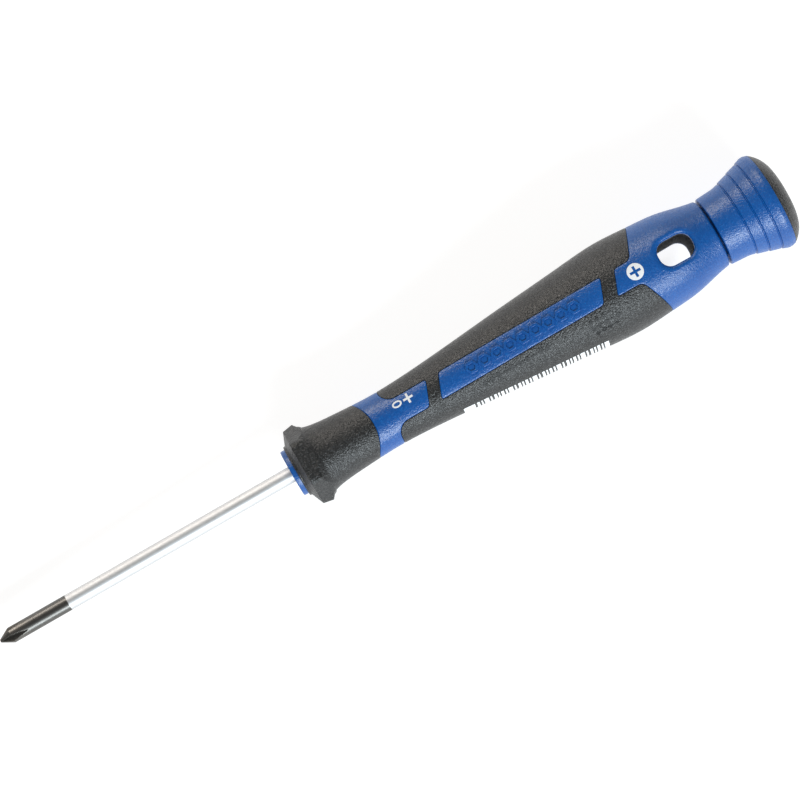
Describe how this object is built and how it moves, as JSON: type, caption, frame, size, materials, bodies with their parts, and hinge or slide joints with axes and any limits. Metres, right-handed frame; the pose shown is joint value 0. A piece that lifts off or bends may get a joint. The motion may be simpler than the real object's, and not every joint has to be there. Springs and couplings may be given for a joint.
{
  "type": "precision screwdriver",
  "caption": "Slim cross-recess precision screwdriver with a round blade, a two-component waisted grip, a hexagonal anti-roll flange, a hanging slot and a swivel end cap.",
  "frame": {"origin": "under the middle of the tool's length, on the plane that the rim of the cap touches when the tool's axis lies level", "axes": "+X along the tool from the point of the blade to the domed cap, +Z out of the long panel and the hanging slot, tool axis level 9.22 mm above the origin"},
  "size_m": [0.162, 0.0184, 0.0184],
  "materials": {
    "blade_steel": "matt chrome plate, last 14 mm burnished black",
    "blue_plastic": "fine satin mould grain",
    "black_grip": "soft satin thermoplastic rubber, fine grain",
    "white_mark": "white ink, semi matt",
    "bearing_plastic": "dark blue acetal",
    "spring_steel": "plain spring steel"
  },
  "bodies": {
    "handle": {"blade": "blade_steel", "handle_core": "blue_plastic", "grip_front": "black_grip", "grip_main": "black_grip", "symbol_disc": "white_mark", "slide_washer": "bearing_plastic", "retaining_ring": "spring_steel"},
    "cap": {"swivel_cap": "blue_plastic", "cap_inlay": "black_grip"}
  },
  "joints": [
    {"name": "cap_spin", "type": "hinge", "parent": "handle", "child": "cap", "pos_m": [0.069, 0, 0.00922], "axis": [1, 0, 0], "continuous": true}
  ]
}
